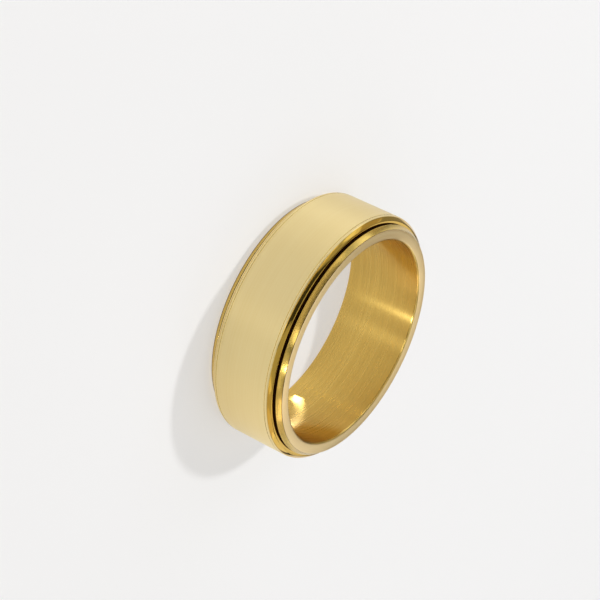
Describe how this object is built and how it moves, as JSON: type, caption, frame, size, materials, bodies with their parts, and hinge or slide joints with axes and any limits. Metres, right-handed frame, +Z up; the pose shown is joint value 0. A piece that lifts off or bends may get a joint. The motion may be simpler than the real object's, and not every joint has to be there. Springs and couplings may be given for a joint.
{
  "type": "spinner ring",
  "caption": "Wide gold-toned finger ring with a channelled inner band and a loose outer band that spins freely in the channel.",
  "frame": {"origin": "centre of the lower side face, where the ring lies on its side, on the ring's axis", "axes": "+Z up along the ring's axis, from the lower side face to the upper one; X and Y span the side face, and the ring is round about Z"},
  "size_m": [0.0242, 0.0242, 0.008],
  "materials": {
    "inner_band": "gold plating over stainless steel, bore brushed round the finger, side faces satin, lips polished",
    "spinner_band": "gold plating over stainless steel, satin face with polished edges"
  },
  "bodies": {
    "band": {"inner_band": "inner_band"},
    "spinner": {"spinner_band": "spinner_band"}
  },
  "joints": [
    {"name": "spinner_spin", "type": "hinge", "parent": "band", "child": "spinner", "pos_m": [0, 0, 0.004], "axis": [0, 0, 1], "continuous": true}
  ]
}
